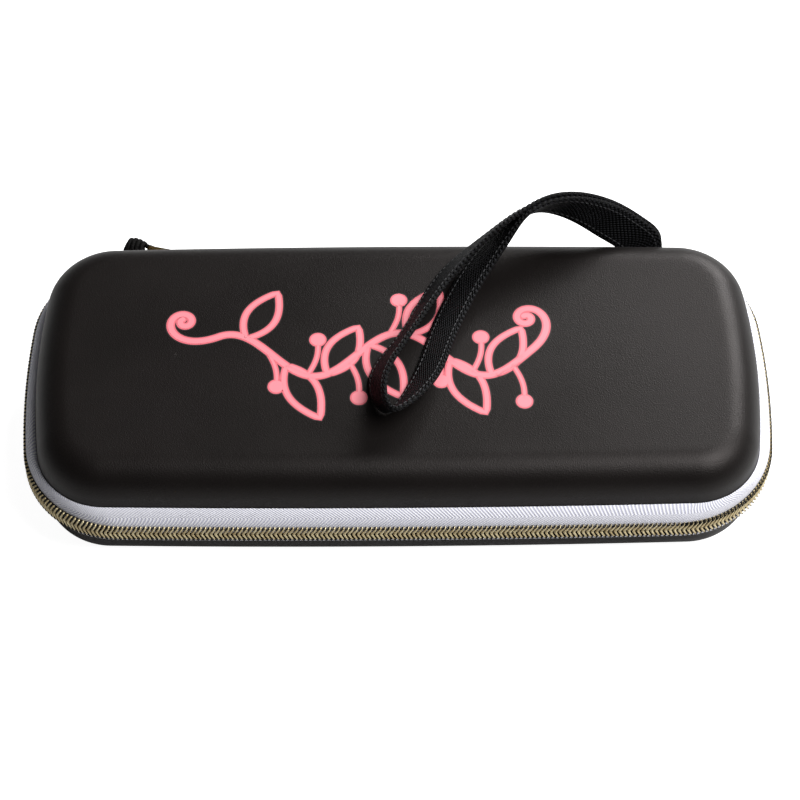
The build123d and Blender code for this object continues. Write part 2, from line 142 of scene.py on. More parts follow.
world = bpy.data.worlds.new("white studio")
scene.world = world
world.use_nodes = True
tree = world.node_tree
ray = add_node(tree, "ShaderNodeLightPath")
room = add_node(tree, "ShaderNodeBackground", {"Color": (1, 1, 1, 1), "Strength": 0.05})
wall = add_node(tree, "ShaderNodeBackground", {"Color": (1, 1, 1, 1), "Strength": 1.0})
mixed_inputs = {"Fac": ray.outputs["Is Camera Ray"], 1: room.outputs[0], 2: wall.outputs[0]}
mixed = add_node(tree, "ShaderNodeMixShader", mixed_inputs)
feed(tree, tree.nodes["World Output"], {"Surface": mixed.outputs[0]})


def soft_box(name, place, size, power):
    """Area lamp, in metres and watts, aimed at the middle of the case."""
    lamp = put(name, bpy.data.lights.new(name, "AREA"))
    lamp.data.shape = "RECTANGLE"
    lamp.data.size = size[0]
    lamp.data.size_y = size[1]
    lamp.data.energy = power
    lamp.location = place
    lamp.rotation_mode = "QUATERNION"
    lamp.rotation_quaternion = (Vector(place) - Vector((0, 0, 0.03))).to_track_quat("Z", "Y")


soft_box("soft_box_top_right", (0.5, -0.2, 0.88), (0.6, 0.6), 12.8)
soft_box("soft_box_back_right", (0.56, 0.8, 0.62), (0.6, 0.5), 15.0)

scene.view_settings.view_transform = "Standard"

# ---- Moulded halves -----------------------------------------------------------------------
# Two pressed EVA shells faced with black polyurethane leather cloth. The cloth is heat moulded with
# the foam, so it has no seams, a fine pressed grain and a soft sheen; its rim is cut and bound inside.
zip_level = 24.5
half_depth = 24.5
rim_height = 8.7
band_reach = 4.9
wall_draft = radians(5.5)
edge_round = 12.0
rim_length, rim_width, rim_corner = 250.2, 106.2, 24.3
coil_length, coil_width, coil_corner = 260.0, 116.0, 34.3
end_bow = 5.8
side_bow = 1.55
cloth_thickness = 0.6
crown = 0.9  # the top of the lid swells this much towards its middle


def plan_line(inset, length=rim_length, width=rim_width, corner=rim_corner):
    """Closed line round the case, or inside it, from the middle of its right end, counter-clockwise."""
    half_x, half_y = length / 2, width / 2
    corner_x, corner_y = half_x - end_bow, half_y - side_bow
    end_radius = (corner_y**2 + end_bow**2) / (2 * end_bow)
    side_radius = (corner_x**2 + side_bow**2) / (2 * side_bow)
    radius = max(corner - inset, 2.5)
    end_x = half_x - end_radius
    side_y = half_y - side_radius
    r1, r2 = end_radius - inset - radius, side_radius - inset - radius
    apart = sqrt(end_x**2 + side_y**2)
    along = (r1**2 - r2**2 + apart**2) / (2 * apart)
    off = sqrt(r1**2 - along**2)
    ux, uy = -end_x / apart, side_y / apart
    cx, cy = end_x + along * ux - off * uy, along * uy + off * ux
    if cx < 0 or cy < 0:
        cx, cy = end_x + along * ux + off * uy, along * uy - off * ux
    end_turn = atan2(cy, cx - end_x)
    side_turn = atan2(cy - side_y, cx)
    arcs = []
    for count, first, last, mid_x, mid_y, size in (
        (40, 0.0, end_turn, end_x, 0.0, end_radius - inset),
        (30, end_turn, side_turn, cx, cy, radius),
        (110, side_turn, pi / 2, 0.0, side_y, side_radius - inset),
    ):
        angles = np.linspace(first, last, count + 1)
        arcs.append(np.c_[mid_x + size * np.cos(angles), mid_y + size * np.sin(angles)])
    quarter = np.vstack([arcs[0][:-1], arcs[1][:-1], arcs[2]])
    left = quarter[::-1][1:] * (-1, 1)
    top = np.vstack([quarter, left])
    bottom = top[::-1][1:-1] * (1, -1)
    return np.vstack([top, bottom])


def rim_line(inset, side, height):
    """Closed line inside the moulded rim, at a height from the zip line."""
    return at_height(plan_line(inset), side, height)


def at_height(line, side, height):
    """Points of a line set at a height from the zip line, above or below it."""
    return np.c_[line, np.zeros(len(line)) + zip_level + side * height]


def grid_faces(rows, columns, closed, flip=False):
    """Quads between rows of points, each row running round the case."""
    faces = []
    for r in range(rows - 1):
        low, high = r * columns, (r + 1) * columns
        for c in range(columns if closed else columns - 1):
            ahead = (c + 1) % columns
            faces.append((low + c, low + ahead, high + ahead, high + c))
    return flipped(faces, flip)


def flipped(faces, flip=True):
    """Faces turned over, if asked."""
    return [face[::-1] for face in faces] if flip else faces


def make_piece(name, points, faces, finish, uv=None, thickness=0.0):
    """Mesh object from millimetre points, thickened if asked, with its place in its mesh."""
    mesh = bpy.data.meshes.new(name)
    mesh.from_pydata((np.array(points) * MM).tolist(), [], faces)
    if uv is not None:
        layer = mesh.uv_layers.new(name="UVMap")
        table = np.array(uv) * MM
        corner_points = np.empty(len(mesh.loops), np.int32)
        mesh.loops.foreach_get("vertex_index", corner_points)
        layer.data.foreach_set("uv", table[corner_points].ravel())
    mesh.materials.append(finish)
    made = put(name, mesh)
    if thickness:
        wall = made.modifiers.new("wall", "SOLIDIFY")
        wall.thickness = thickness * MM
        wall.offset = -1.0
        bake(made)
    made.data.shade_smooth()
    return made


def bake(made):
    """Turns an object's modifiers into its own mesh."""
    bpy.context.view_layer.update()
    view = bpy.context.evaluated_depsgraph_get()
    shaped = made.evaluated_get(view)
    mesh = bpy.data.meshes.new_from_object(shaped, preserve_all_data_layers=True, depsgraph=view)
    made.modifiers.clear()
    made.data = mesh
    mesh.name = made.name


def swell(x, y):
    """Height that the crown adds at a place on the lid."""
    across_x = np.clip(1 - (np.asarray(x) / 113.0) ** 2, 0, 1)
    across_y = np.clip(1 - (np.asarray(y) / 40.7) ** 2, 0, 1)
    return crown * across_x**2 * across_y**2


def object_place(tree):
    """Coordinates that stay with the object."""
    return add_node(tree, "ShaderNodeTexCoord").outputs["Object"]


def noise(tree, place, scale, detail, roughness=0.5):
    """Soft random patches, from 0 to 1."""
    inputs = {"Vector": place, "Scale": scale, "Detail": detail, "Roughness": roughness}
    return add_node(tree, "ShaderNodeTexNoise", inputs).outputs["Fac"]


def two_tones(tree, factor, dark, pale):
    """Colour between two sRGB values."""
    inputs = {"Factor": factor, "A": paint(dark), "B": paint(pale)}
    return add_node(tree, "ShaderNodeMix", inputs, data_type="RGBA").outputs["Result"]


def specked(tree, factor, colour, least):
    """Colour darkened towards a share of itself."""
    inputs = {"Factor": factor, "A": colour, "B": (*least, 1)}
    return add_node(tree, "ShaderNodeMix", inputs, data_type="RGBA", blend_type="MULTIPLY").outputs["Result"]


def raised(tree, height, strength, distance, under=None):
    """Normal of a finish raised by a height."""
    inputs = {"Height": height, "Strength": strength, "Distance": distance}
    if under:
        inputs["Normal"] = under
    return add_node(tree, "ShaderNodeBump", inputs).outputs["Normal"]


# The grain of polyurethane leather cloth is pressed in by a roller: shallow pebbles about 0.5 mm
# across under a matte lacquer, with a faint wider unevenness from the moulding.
leather, tree, shader = new_finish("matte black polyurethane leather cloth")
place = object_place(tree)
grain_inputs = {"Vector": place, "Scale": 2600.0, "Smoothness": 0.6}
grain = add_node(tree, "ShaderNodeTexVoronoi", grain_inputs, feature="SMOOTH_F1")
fine = noise(tree, place, 1400.0, 3.0)
cloud = noise(tree, place, 22.0, 3.0, 0.55)
gloss_inputs = {"Value": cloud, "From Min": 0.3, "From Max": 0.7, "To Min": 0.4, "To Max": 0.47}
gloss = add_node(tree, "ShaderNodeMapRange", gloss_inputs)
tone = two_tones(tree, cloud, "#0c0a09", "#130f0e")
pebble = raised(tree, grain.outputs["Distance"], 0.3, 0.00018)
looks = {"Specular IOR Level": 0.23, "Specular Tint": (1.0, 0.93, 0.91, 1.0), "Sheen Weight": 0.02}
looks["Sheen Roughness"] = 0.5
looks["Roughness"] = gloss.outputs["Result"]
looks["Base Color"] = specked(tree, fine, tone, (0.72, 0.72, 0.72))
looks["Normal"] = raised(tree, fine, 0.2, 0.00006, pebble)
feed(tree, shader, looks)


def half_rows(side, sink=0.0):
    """Lines round one half from its rim over the edge to the middle of its top, sunk by a depth."""
    rows = []
    far = half_depth - sink
    radius = edge_round - sink
    middle = far - radius
    tuck = (radius + (middle - rim_height) * sin(wall_draft)) / cos(wall_draft) + sink / cos(wall_draft)
    foot = middle + radius * sin(wall_draft)
    for height in np.linspace(rim_height, foot, 9):
        rows.append(((height - rim_height) * np.tan(wall_draft) + sink / cos(wall_draft), height))
    for angle in np.linspace(pi - wall_draft, pi / 2, 17)[1:]:
        rows.append((tuck + radius * cos(angle), middle + radius * sin(angle)))
    edge = rows[-1][0]
    for inset in np.linspace(edge, 49.5, 22)[1:]:
        rows.append((inset, far))
    points = []
    for inset, height in rows:
        line = plan_line(inset)
        rise = swell(*line.T) if side > 0 and not sink and inset > edge - 4 else 0.0
        points.append(at_height(line, side, height + rise))
    return points


def half_skin(name, side, finish, sink=0.0, thickness=cloth_thickness):
    """One layer of a moulded half as a closed mesh."""
    rows = half_rows(side, sink)
    columns = len(rows[0])
    faces = grid_faces(len(rows), columns, True)
    last = (len(rows) - 1) * columns
    for c in range(columns // 2):
        bridge = [last + k % columns for k in (c, c + 1, columns - c - 1, columns - c)]
        faces.append(tuple(dict.fromkeys(bridge)))
    return make_piece(name, np.vstack(rows), flipped(faces, side < 0), finish, thickness=thickness)


lid_leather = half_skin("lid_leather", 1, leather)
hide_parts("lid_skin")
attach(lid_leather, "lid")
base_leather = half_skin("base_leather", -1, leather)
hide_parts("base_skin")
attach(base_leather, "base")

# The cloth is cut level with the rim and its dark edge shows as a fine line above the tape. This near-black
# ring is partly that cut edge and partly painted shadow: it darkens the gap between the wall and the tape,
# where the rim's shade falls.
cut_edge_and_rim_shade, tree, shader = new_finish("dark cut edge of leather cloth")
feed(tree, shader, {"Base Color": paint("#070707"), "Roughness": 0.8})
for name, side, body in (("lid_cut_edge", 1, "lid"), ("base_cut_edge", -1, "base")):
    profile = [(0.12, 9.65), (-0.1, 9.55), (-0.12, 9.25), (0.0, 8.76), (0.55, 8.76), (0.55, 9.65)]
    rows = [rim_line(inset, side, height) for inset, height in profile + profile[:1]]
    faces = grid_faces(len(rows), len(rows[0]), True, side < 0)
    edge = make_piece(name, np.vstack(rows), faces, cut_edge_and_rim_shade)
    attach(edge, body)

# ---- EVA foam -----------------------------------------------------------------------------
# Closed-cell foam, about 3 mm thick, bonded between cloth and lining when the halves are moulded. Only
# its cut rim could ever be seen, so it keeps the plain shape of its solid.
foam, tree, shader = new_finish("black closed-cell EVA foam")
cells = add_node(tree, "ShaderNodeTexVoronoi", {"Vector": object_place(tree), "Scale": 2600.0})
cells = cells.outputs["Distance"]
shade, pores = two_tones(tree, cells, "#19191b", "#252528"), raised(tree, cells, 0.4, 0.0002)
feed(tree, shader, {"Base Color": shade, "Roughness": 0.85, "Normal": pores})
for node in ("lid_foam", "base_foam"):
    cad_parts[node].data.materials.clear()
    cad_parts[node].data.materials.append(foam)

# ---- Lining -------------------------------------------------------------------------------
# Brushed polyester knit laminated to the foam before moulding. It looks like fine columns of loops,
# 1.4 mm apart, drawn coarser than life so that they show.


def maths(tree, operation, *values):
    """Result of one step of arithmetic on numbers or sockets."""
    return add_node(tree, "ShaderNodeMath", dict(enumerate(values)), operation=operation).outputs[0]


def ribbed(tree, place, scale, direction):
    """Even bands of light and dark across a direction."""
    bands = add_node(tree, "ShaderNodeTexWave", {"Vector": place, "Scale": scale}, bands_direction=direction)
    return bands.outputs["Fac"]


knit, tree, shader = new_finish("dark grey brushed polyester knit")
place = object_place(tree)
loops = maths(tree, "MULTIPLY", ribbed(tree, place, 220.0, "X"), ribbed(tree, place, 300.0, "Y"))
nap = noise(tree, place, 500.0, 4.0)
shade = two_tones(tree, loops, "#1d1d20", "#37373c")
fluff = raised(tree, maths(tree, "ADD", loops, nap), 0.5, 0.0003)
feed(tree, shader, {"Base Color": shade, "Roughness": 0.95, "Sheen Weight": 0.35, "Normal": fluff})
for node, side, body in (("lid_lining", 1, "lid"), ("base_lining", -1, "base")):
    lining = half_skin(node.replace("lining", "knit_lining"), side, knit, sink=3.85, thickness=0.4)
    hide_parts(node)
    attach(lining, body)

# ---- Zip tape -----------------------------------------------------------------------------
# White polyester tape woven in a herringbone. It is sewn under each rim, swells outwards in a soft
# roll and runs straight up to the coil.
tape_thickness = 0.8
coil_gap = 0.05
coil_thickness = 1.7
coil_height = 2.85
coil_start = coil_gap + coil_height
spine_end = 66.0
zip_end_x = -100.0
fit_gap = 0.3
hem_inset = 5.1
lower_tape_inward = 0.8  # the lower tape is drawn this much nearer the case than its solid
roll_power = {1: 1.4, -1: 1.12}  # how late the upper and the lower tape turn down


def cloth_run(tree):
    """Coordinates along and across a strip of cloth, in metres."""
    return add_node(tree, "ShaderNodeUVMap", uv_map="UVMap").outputs["UV"]


tape_white, tree, shader = new_finish("white herringbone polyester tape")
cloth_place = cloth_run(tree)
axes = add_node(tree, "ShaderNodeSeparateXYZ", {"Vector": cloth_place})
# The chevrons fold 8.6 mm from the tape's inner edge, and their ribs lie 1.2 mm apart.
fold = maths(tree, "ABSOLUTE", maths(tree, "SUBTRACT", axes.outputs["Y"], 0.0086))
run = maths(tree, "ADD", axes.outputs["X"], maths(tree, "MULTIPLY", fold, 1.1))
rib = maths(tree, "SINE", maths(tree, "MULTIPLY", run, 2 * pi / 0.0012))
thread = noise(tree, cloth_place, 2600.0, 2.0)
share = add_node(tree, "ShaderNodeMapRange", {"Value": rib, "From Min": -1.0}).outputs["Result"]
colour = specked(tree, thread, two_tones(tree, share, "#c6c6d8", "#fefeff"), (0.9, 0.9, 0.93))
weave = raised(tree, maths(tree, "ADD", rib, thread), 0.5, 0.00018)
feed(tree, shader, {"Base Color": colour, "Roughness": 0.8, "Sheen Weight": 0.2, "Normal": weave})


def band_rows(side, reach, top=rim_height, under=True):
    """Lines of cloth from inside the rim, out in a roll and down to the zip line, with lengths."""
    rows = []
    top -= 0.12
    if under:
        for inset in np.linspace(hem_inset - 0.2, 0.0, 5)[:-1]:
            rows.append((plan_line(inset), top))
    for angle in np.linspace(0, 90, 13):
        outward = sin(radians(angle)) ** roll_power[side]
        out = reach * outward
        corner = rim_corner + (coil_corner - rim_corner) * outward
        line = plan_line(0.0, rim_length + 2 * out, rim_width + 2 * out, corner)
        rows.append((line, coil_start + (top - coil_start) * cos(radians(angle))))
    line = rows[-1][0]
    for height in np.linspace(coil_start, coil_gap, 5)[1:]:
        rows.append((line, height))
    points = [at_height(line, side, height) for line, height in rows]
    across = [0.0]
    for before, after in zip(points, points[1:]):
        across.append(across[-1] + float(np.linalg.norm(after - before, axis=1).mean()))
    return points, across


def back_y(line, x):
    """Y of the back run of a line round the case, at x."""
    back = line[line[:, 1] > 0]
    back = back[np.argsort(back[:, 0])]
    return float(np.interp(x, back[:, 0], back[:, 1]))


def cut_rows(rows, low, high, inside):
    """Rows of points cut off cleanly at two X limits along the back, between or around them."""
    spare = 0.3  # no point stays this close to a cut, so its faces aren't slivers
    x, y = np.array([row[:, 0] for row in rows]), np.array([row[:, 1] for row in rows])
    if inside:
        picked = np.flatnonzero(np.all((y > 0) & (x > low + spare) & (x < high - spare), axis=0))
        ends = (high, low)
    else:
        gap = np.flatnonzero(np.any((y > 0) & (x > low - spare) & (x < high + spare), axis=0))
        picked = np.arange(gap[-1] + 1, gap[0] + len(rows[0])) % len(rows[0])
        ends = (low, high)
    trimmed = []
    for row in rows:
        first, last = [(end, back_y(row, end), *row[0, 2:]) for end in ends]
        trimmed.append(np.vstack([first, row[picked], last]))
    return trimmed


parting_start, parting_end, parting_lift = -83.2, -78.5, 1.05


def parted(line, side):
    """Points moved off the zip line beside the slider, whose wedge holds the two coils apart."""
    line = line.copy()
    beside = (line[:, 1] > 0) & (line[:, 0] < -spine_end - 0.1)
    lift = np.clip((line[:, 0] - parting_start) / (parting_end - parting_start), 0, 1) * parting_lift
    fade = np.clip(1 - (np.abs(line[:, 2] - zip_level) - coil_start) / (rim_height - coil_start), 0, 1)
    line[:, 2] += side * np.where(beside, lift * fade, 0)
    return line


def strip(name, side, rows, across, limits, inside, finish=tape_white, thickness=tape_thickness):
    """Closed strip of cloth between or around two X limits."""
    rows = [parted(row, side) for row in cut_rows(rows, *limits, inside)]
    steps = np.linalg.norm(np.diff(rows[-1], axis=0), axis=1)
    lengths = np.r_[0.0, np.cumsum(steps)]
    uv = np.vstack([np.c_[lengths, np.full(len(lengths), v)] for v in across])
    faces = grid_faces(len(rows), len(lengths), False, side < 0)
    return make_piece(name, np.vstack(rows), faces, finish, uv, thickness)


upper_rows, upper_across = band_rows(1, band_reach - coil_thickness)
lower_rows, lower_across = band_rows(-1, band_reach - coil_thickness - lower_tape_inward)
around = (zip_end_x - fit_gap, spine_end)
upper_tape = strip("white_tape_upper", 1, upper_rows, upper_across, around, False)
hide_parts("zip_tape_upper")
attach(upper_tape, "lid")
around = (-spine_end, spine_end)
lower_tape = strip("white_tape_lower", -1, lower_rows, lower_across, around, False)
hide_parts("zip_tape_lower")
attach(lower_tape, "base")
end_rows, end_across = band_rows(1, band_reach - coil_thickness, rim_height - fit_gap, False)
beside = (zip_end_x, -spine_end - fit_gap)
tape_end = strip("white_tape_end", 1, end_rows, end_across, beside, True)
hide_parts("zip_tape_end")
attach(tape_end, "base")

# ---- Zip coil -----------------------------------------------------------------------------
# Two spirals of nylon wire sewn to the tapes with black thread over a cord, dyed and lacquered gold. The
# cord and the thread are drawn black, so that between the loops their black is painted shade in the gaps.
# Their loops stand 1.55 mm apart and mesh half a step out of phase, which shows as a row of chevrons.
coil_pitch = 1.55
coil_lean = 0.95
wire_radius = (0.3, 0.36, 0.37, 0.36, 0.37, 0.44, 0.5, 0.42, 0.3)

gold_nylon, tree, shader = new_finish("gold lacquered nylon wire")
patch = noise(tree, object_place(tree), 300.0, 2.0)
colour = two_tones(tree, patch, "#9a7c3e", "#fff3c8")
feed(tree, shader, {"Base Color": colour, "Metallic": 0.4, "Roughness": 0.3})

# Near-black thread; on the coil its black also paints the shade in the gaps between the loops.
black_thread_and_gap_shade, tree, shader = new_finish("black spun polyester sewing thread")
twist = noise(tree, object_place(tree), 1800.0, 2.0)
colour = two_tones(tree, twist, "#040303", "#0d0b0a")
feed(tree, shader, {"Base Color": colour, "Roughness": 0.75})


def barrel_faces(rings, sides):
    """Faces between rings of points one after another, with both ends closed."""
    last = (rings - 1) * sides
    ends = [tuple(range(sides)), tuple(reversed(range(last, last + sides)))]
    return grid_faces(rings, sides, True, True) + ends


def bar_faces(rows, columns, flip):
    """Faces of a bar whose lines of points lie round its section, with both ends closed."""
    faces = []
    for r in range(rows):
        low, high = r * columns, (r + 1) % rows * columns
        faces += [(low + c, low + c + 1, high + c + 1, high + c) for c in range(columns - 1)]
    first = [r * columns for r in range(rows)]
    faces += [tuple(reversed(first)), tuple(i + columns - 1 for i in first)]
    return flipped(faces, flip)


def tube(path, radius, sides, name):
    """Closed tube mesh along a short list of millimetre points; radius is one size or one for each."""
    path = np.array(path, float)
    sizes = np.broadcast_to(radius, len(path))
    lines = []
    normal = np.array((0.0, 0.0, 1.0))
    for i, point in enumerate(path):
        ahead = path[min(i + 1, len(path) - 1)] - path[max(i - 1, 0)]
        ahead /= np.linalg.norm(ahead)
        normal = normal - ahead * normal.dot(ahead)
        if np.linalg.norm(normal) < 0.2:
            normal = np.cross(ahead, (1.0, 0.3, 0.2))
        normal /= np.linalg.norm(normal)
        side = np.cross(ahead, normal)
        for k in range(sides):
            angle = 2 * pi * k / sides
            lines.append(point + sizes[i] * (normal * cos(angle) + side * sin(angle)))
    mesh = bpy.data.meshes.new(name)
    mesh.from_pydata((np.array(lines) * MM).tolist(), [], barrel_faces(len(path), sides))
    mesh.shade_smooth()
    return mesh


def repeat_tree(pivot):
    """Geometry Nodes that set a piece at even steps along a line, turned about an axis to follow it."""
    tree = bpy.data.node_groups.new("repeat along a line", "GeometryNodeTree")
    tree.interface.new_socket("Geometry", in_out="OUTPUT", socket_type="NodeSocketGeometry")
    inputs = {"Line": "Geometry", "Piece": "Object", "Step": "Float", "Shift": "Float", "Finish": "Material"}
    for name, kind in inputs.items():
        tree.interface.new_socket(name, in_out="INPUT", socket_type="NodeSocket" + kind)
    given = add_node(tree, "NodeGroupInput").outputs
    curve = add_node(tree, "GeometryNodeMeshToCurve", {"Mesh": given["Line"]}).outputs[0]
    total = add_node(tree, "GeometryNodeCurveLength", {"Curve": curve}).outputs[0]
    start = maths(tree, "DIVIDE", given["Shift"], total)
    trim = add_node(tree, "GeometryNodeTrimCurve", {"Curve": curve}, mode="FACTOR")
    tree.links.new(start, trim.inputs["Start"])
    step_inputs = {"Curve": trim.outputs[0], "Length": given["Step"]}
    steps = add_node(tree, "GeometryNodeResampleCurve", step_inputs, mode="LENGTH")
    ahead = add_node(tree, "GeometryNodeInputTangent").outputs[0]
    turn = add_node(tree, "FunctionNodeAlignRotationToVector", {"Vector": ahead}, axis="X", pivot_axis=pivot)
    item = add_node(tree, "GeometryNodeObjectInfo", {"Object": given["Piece"]}).outputs["Geometry"]
    place_inputs = {"Points": steps.outputs[0], "Instance": item, "Rotation": turn.outputs[0]}
    placed = add_node(tree, "GeometryNodeInstanceOnPoints", place_inputs).outputs[0]
    real = add_node(tree, "GeometryNodeRealizeInstances", {"Geometry": placed}).outputs[0]
    painted = add_node(tree, "GeometryNodeSetMaterial", {"Geometry": real, "Material": given["Finish"]})
    add_node(tree, "NodeGroupOutput", {"Geometry": painted.outputs[0]})
    return tree


level_turns = repeat_tree("Z")


def repeat(name, line, item_mesh, step, shift, finish, turns=level_turns):
    """Pieces along a millimetre line, made a plain mesh."""
    item = bpy.data.objects.new(name + "_one", item_mesh)
    mesh = bpy.data.meshes.new(name)
    mesh.from_pydata((np.array(line) * MM).tolist(), [(i, i + 1) for i in range(len(line) - 1)], [])
    made = put(name, mesh)
    nodes = made.modifiers.new("repeat", "NODES")
    nodes.node_group = turns
    given = {"Piece": item, "Step": step * MM, "Shift": shift * MM, "Finish": finish}
    for socket in turns.interface.items_tree:
        if socket.name in given:
            nodes[socket.identifier] = given[socket.name]
    bake(made)
    bpy.data.objects.remove(item)
    made.data.shade_smooth()
    return made


def loop_path(side):
    """One loop of the coil, from the tape over its face to the head that meshes and back."""
    path = [
        (1.0, 1.6, 2.9),
        (1.0, 0.95, 3.4),
        (0.9, 0.45, 3.2),
        (0.55, 0.38, 2.4),
        (0.15, 0.36, 1.5),
        (-0.25, 0.42, 0.75),
        (-0.5, 0.5, 0.1),
        (-0.5, 0.95, -0.25),
        (-0.5, 1.5, 0.2),
    ]
    return [(coil_lean * share, y, side * z) for share, y, z in path]


coil_line = at_height(plan_line(0.0, coil_length, coil_width, coil_corner), 1, 0.0)
for name, side, low, node, body, shift in (
    ("gold_coil_upper", 1, zip_end_x - fit_gap, "zip_coil_upper", "lid", 0.6),
    ("gold_coil_lower", -1, -spine_end, "zip_coil_lower", "base", 0.6 + coil_pitch / 2),
):
    run = parted(cut_rows([coil_line], low, spine_end, False)[0], side)
    wire = tube(loop_path(side), wire_radius, 8, name + "_loop")
    coil = repeat(name, run, wire, coil_pitch, shift, gold_nylon)
    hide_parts(node)
    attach(coil, body)
    # Black core cord behind the loops: its black paints the shade in the gaps between them.
    foot, behind = (3.45, 1.68) if side > 0 else (4.0, 2.4)
    profile = [(1.4, 0.2), (1.0, 0.4), (0.95, 1.5), (0.92, 2.9)]
    profile += [(1.0, foot - 0.05), (behind, foot), (behind, 0.2)]
    cord_rows = []
    for inset, height in profile:
        line = plan_line(0.0, coil_length - 2 * inset, coil_width - 2 * inset, coil_corner - inset)
        cord_rows.append(at_height(line, side, height))
    cord_rows = [parted(row, side) for row in cut_rows(cord_rows, low, spine_end, False)]
    faces = bar_faces(len(cord_rows), len(cord_rows[0]), side < 0)
    gap_shade_core = make_piece(name.replace("gold_coil", "coil_cord"), np.vstack(cord_rows), faces, black_thread_and_gap_shade)
    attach(gap_shade_core, body)
    # Black thread dashes between the loops at the tape's edge; their black also paints the shade there.
    path = [(0.15, 0.75, 2.5), (0.45, 0.2, 2.8), (0.95, 0.25, 3.35), (1.2, 0.9, 3.7)]
    stitch = tube([(x, y, side * z) for x, y, z in path], 0.24, 6, "thread")
    sewn_name = name.replace("gold_coil", "coil_thread")
    thread_and_gap_shade = repeat(sewn_name, run, stitch, coil_pitch, shift + coil_pitch / 2, black_thread_and_gap_shade)
    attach(thread_and_gap_shade, body)

# The meshed stretch that the parked slider holds to the base.
line = parted(cut_rows([coil_line], zip_end_x, -spine_end - fit_gap, True)[0], 1)
wire = tube(loop_path(1), wire_radius, 8, "gold_coil_end_loop")
coil = repeat("gold_coil_end", line, wire, coil_pitch, 0.6, gold_nylon)
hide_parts("zip_coil_end")
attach(coil, "base")

# ---- Fabric spine -------------------------------------------------------------------------
# One strip of black polyester canvas, sewn under both rims between the ends of the zip, is the hinge.
# It stands a little behind the coil. The real strip bends along the zip line when the lid turns; this mesh
# is made in one piece and is not attached to the lid or the base.
canvas, tree, shader = new_finish("black polyester canvas")
cloth_place = cloth_run(tree)
warp, weft = [ribbed(tree, cloth_place, 260.0, direction) for direction in "XY"]
crossing = maths(tree, "MULTIPLY", warp, weft)
colour = two_tones(tree, crossing, "#0b0b0c", "#1c1c1f")
threads = raised(tree, crossing, 0.6, 0.0002)
feed(tree, shader, {"Base Color": colour, "Roughness": 0.85, "Normal": threads})

spine_proud = 1.5
up_rows, up_across = band_rows(1, band_reach + spine_proud)
down_rows, down_across = band_rows(-1, band_reach + spine_proud)
spine_rows = up_rows + down_rows[::-1]
total = up_across[-1] + 2 * coil_gap
spine_across = up_across + [total + down_across[-1] - v for v in down_across[::-1]]
spine = strip("canvas_spine", 1, spine_rows, spine_across, (-spine_end, spine_end), True, canvas, 1.0)
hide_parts("spine_upper", "spine_lower")
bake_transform(spine)

# ---- Inner bindings -----------------------------------------------------------------------
# Woven black polyester tape, folded over the raw edges of cloth, foam and lining inside each rim and
# sewn through with one line of stitches 2 mm from its edge.
binding_tape, tree, shader = new_finish("black woven polyester binding tape")
place = object_place(tree)
cross = ribbed(tree, place, 260.0, "Z")
colour = two_tones(tree, cross, "#0d0d0e", "#1f1f22")
woven = raised(tree, maths(tree, "ADD", cross, noise(tree, place, 900.0, 3.0)), 0.5, 0.0002)
feed(tree, shader, {"Base Color": colour, "Roughness": 0.8, "Normal": woven})

dash = tube([(-0.75, 0, 0), (-0.55, 0, 0.12), (0.55, 0, 0.12), (0.75, 0, 0)], 0.22, 5, "stitch")
for node, side, body in (("edge_binding_upper", 1, "lid"), ("edge_binding_lower", -1, "base")):
    low = rim_height + 0.15
    profile = [(5.15, 0.4), (5.35, 0), (5.7, 0), (5.9, 0.4), (5.95, 3.4)]
    profile += [(5.9, 6.3), (5.7, 6.75), (5.35, 6.75), (5.15, 6.3)]
    rows = []
    for inset, up in profile + profile[:1]:
        rows.append(rim_line(inset + (low + up - rim_height) * np.tan(wall_draft), side, low + up))
    faces = grid_faces(len(rows), len(rows[0]), True, side > 0)
    binding = make_piece(node.replace("edge_binding", "woven_binding"), np.vstack(rows), faces, binding_tape)
    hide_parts(node)
    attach(binding, body)
    height = low + 4.6
    line = rim_line(6.0 + (height - rim_height) * np.tan(wall_draft), side, height)
    line = np.vstack([line, line[:1]])
    seam = repeat(node.replace("edge_", "stitches_"), line, dash, 2.4, 0.0, black_thread_and_gap_shade)
    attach(seam, body)

# ---- Mesh pocket --------------------------------------------------------------------------
# Black nylon net with diamond cells 2 mm across, stretched over the back two thirds of the lid. Three
# edges are caught in the lid's seam and the free one in a ribbed elastic band 10 mm wide.
net_nylon, tree, shader = new_finish("black knitted nylon net")
fuzz = noise(tree, object_place(tree), 2200.0, 2.0)
colour = two_tones(tree, fuzz, "#0e0e10", "#242428")
feed(tree, shader, {"Base Color": colour, "Roughness": 0.55})
pocket_level = 34.25
pocket_front = -20.0
thread_spacing = 1.85
thread_half_width, thread_half_height = 0.21, 0.14
shortest_thread = 2.0
outline = plan_line(5.6)
outline = outline[outline[:, 1] > pocket_front]
start = np.argmax(np.linalg.norm(np.diff(outline, axis=0, append=outline[:1]), axis=1)) + 1
outline = np.roll(outline, -start, axis=0)
edges = np.roll(outline, -1, axis=0) - outline
inward = np.c_[-edges[:, 1], edges[:, 0]]
points, faces = [], []
